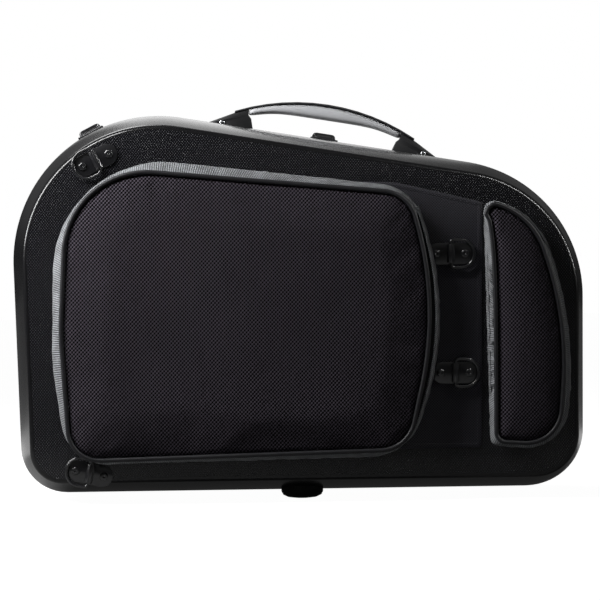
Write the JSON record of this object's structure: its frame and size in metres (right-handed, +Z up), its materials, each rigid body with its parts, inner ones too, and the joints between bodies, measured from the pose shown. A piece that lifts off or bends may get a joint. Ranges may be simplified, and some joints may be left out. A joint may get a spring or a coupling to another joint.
{
  "type": "french horn case",
  "caption": "Moulded french horn case with padded back, hinged halves, draw latches, folding handle and D-rings for carrying straps.",
  "frame": {"origin": "bottom centre of the part's box: the feet stand on z = 0, and the origin is midway along the length and midway through the depth from the handle half's face to the cushions", "axes": "+X to the right as the padded back is seen, +Y from the padded back towards the half with the handle, +Z up"},
  "size_m": [0.5996, 0.2476, 0.4196],
  "materials": {
    "shell": "satin",
    "valance": "satin",
    "gasket": "matte",
    "liner": "matte",
    "foot": "matte",
    "nickel": "satin",
    "black_metal": "satin",
    "rivet": "gloss",
    "panel": "matte",
    "cushion_mesh": "matte",
    "cushion_boxing": "satin",
    "piping": "satin",
    "handle_cap": "satin",
    "handle_grip": "satin",
    "handle_strap": "satin"
  },
  "bodies": {
    "front": {"front_shell": "shell", "front_valance": "valance", "front_liner": "liner", "front_foot": "foot", "hinge_front_leaf_1": "black_metal", "hinge_front_leaf_2": "black_metal", "hinge_front_leaf_3": "black_metal", "hinge_pin_1": "nickel", "hinge_pin_2": "nickel", "hinge_pin_3": "nickel", "latch_base_top": "nickel", "latch_base_left": "nickel", "latch_pin_top": "nickel", "latch_pin_left": "nickel", "handle_bracket_left": "black_metal", "handle_bracket_right": "black_metal", "handle_pin_left": "nickel", "handle_pin_right": "nickel"},
    "back": {"back_shell": "shell", "back_valance": "valance", "seam_gasket": "gasket", "back_liner": "liner", "back_foot": "foot", "fabric_panel": "panel", "large_cushion": "cushion_mesh", "small_cushion": "cushion_mesh", "hinge_back_leaf_1": "black_metal", "hinge_back_leaf_2": "black_metal", "hinge_back_leaf_3": "black_metal", "latch_keeper_top": "nickel", "latch_keeper_left": "nickel", "ring_plate_upper_left": "black_metal", "ring_plate_lower_left": "black_metal", "ring_plate_upper_right": "black_metal", "ring_plate_lower_right": "black_metal", "rivet_upper_left_outer": "rivet", "rivet_upper_left_inner": "rivet", "rivet_lower_left_outer": "rivet", "rivet_lower_left_inner": "rivet", "rivet_upper_right_outer": "rivet", "rivet_upper_right_inner": "rivet", "rivet_lower_right_outer": "rivet", "rivet_lower_right_inner": "rivet"},
    "handle": {"handle_cap_left": "handle_cap", "handle_cap_right": "handle_cap", "handle_screw_left": "nickel", "handle_screw_right": "nickel", "handle_grip": "handle_grip", "handle_strap": "handle_strap"},
    "lever_top": {"latch_lever_top": "nickel"},
    "bail_top": {"latch_bail_top": "nickel"},
    "lever_left": {"latch_lever_left": "nickel"},
    "bail_left": {"latch_bail_left": "nickel"},
    "ring_upper_left": {"d_ring_upper_left": "black_metal"},
    "ring_lower_left": {"d_ring_lower_left": "black_metal"},
    "ring_upper_right": {"d_ring_upper_right": "black_metal"},
    "ring_lower_right": {"d_ring_lower_right": "black_metal"}
  },
  "joints": [
    {"name": "lid_hinge", "type": "hinge", "parent": "front", "child": "back", "pos_m": [0, 0.01325, 0.0101], "axis": [1, 0, 0], "range_deg": [0, 140]},
    {"name": "latch_top_lever", "type": "hinge", "parent": "front", "child": "lever_top", "pos_m": [0.02969, 0.03125, 0.37885], "axis": [0.9867, 0, -0.1625], "range_deg": [0, 105]},
    {"name": "latch_top_bail", "type": "hinge", "parent": "lever_top", "child": "bail_top", "pos_m": [0.02927, 0.03785, 0.37629], "axis": [0.9867, 0, -0.1625], "range_deg": [-136.5, 0]},
    {"name": "latch_left_lever", "type": "hinge", "parent": "front", "child": "lever_left", "pos_m": [-0.21907, 0.03125, 0.38828], "axis": [0.8883, 0, 0.4593], "range_deg": [0, 105]},
    {"name": "latch_left_bail", "type": "hinge", "parent": "lever_left", "child": "bail_left", "pos_m": [-0.21788, 0.03785, 0.38597], "axis": [0.8883, 0, 0.4593], "range_deg": [-136.5, 0]},
    {"name": "handle_fold", "type": "hinge", "parent": "front", "child": "handle", "pos_m": [0.02959, 0.06725, 0.37826], "axis": [-0.9867, 0, 0.1625], "range_deg": [0, 85]},
    {"name": "ring_swing_upper_left", "type": "hinge", "parent": "back", "child": "ring_upper_left", "pos_m": [-0.20838, -0.09775, 0.35075], "axis": [-0.4384, 0, 0.8988], "range_deg": [0, 130]},
    {"name": "ring_swing_lower_left", "type": "hinge", "parent": "back", "child": "ring_lower_left", "pos_m": [-0.21798, -0.09775, 0.03202], "axis": [0.2079, 0, 0.9781], "range_deg": [0, 28]},
    {"name": "ring_swing_upper_right", "type": "hinge", "parent": "back", "child": "ring_upper_right", "pos_m": [0.15216, -0.09925, 0.2514], "axis": [0, 0, -1], "range_deg": [0, 130]},
    {"name": "ring_swing_lower_right", "type": "hinge", "parent": "back", "child": "ring_lower_right", "pos_m": [0.1554, -0.09925, 0.12978], "axis": [0, 0, -1], "range_deg": [0, 130]}
  ],
  "couplings": [
    {"joint": "latch_top_bail", "follows": "latch_top_lever", "ratio": -1.3},
    {"joint": "latch_left_bail", "follows": "latch_left_lever", "ratio": -1.3}
  ]
}
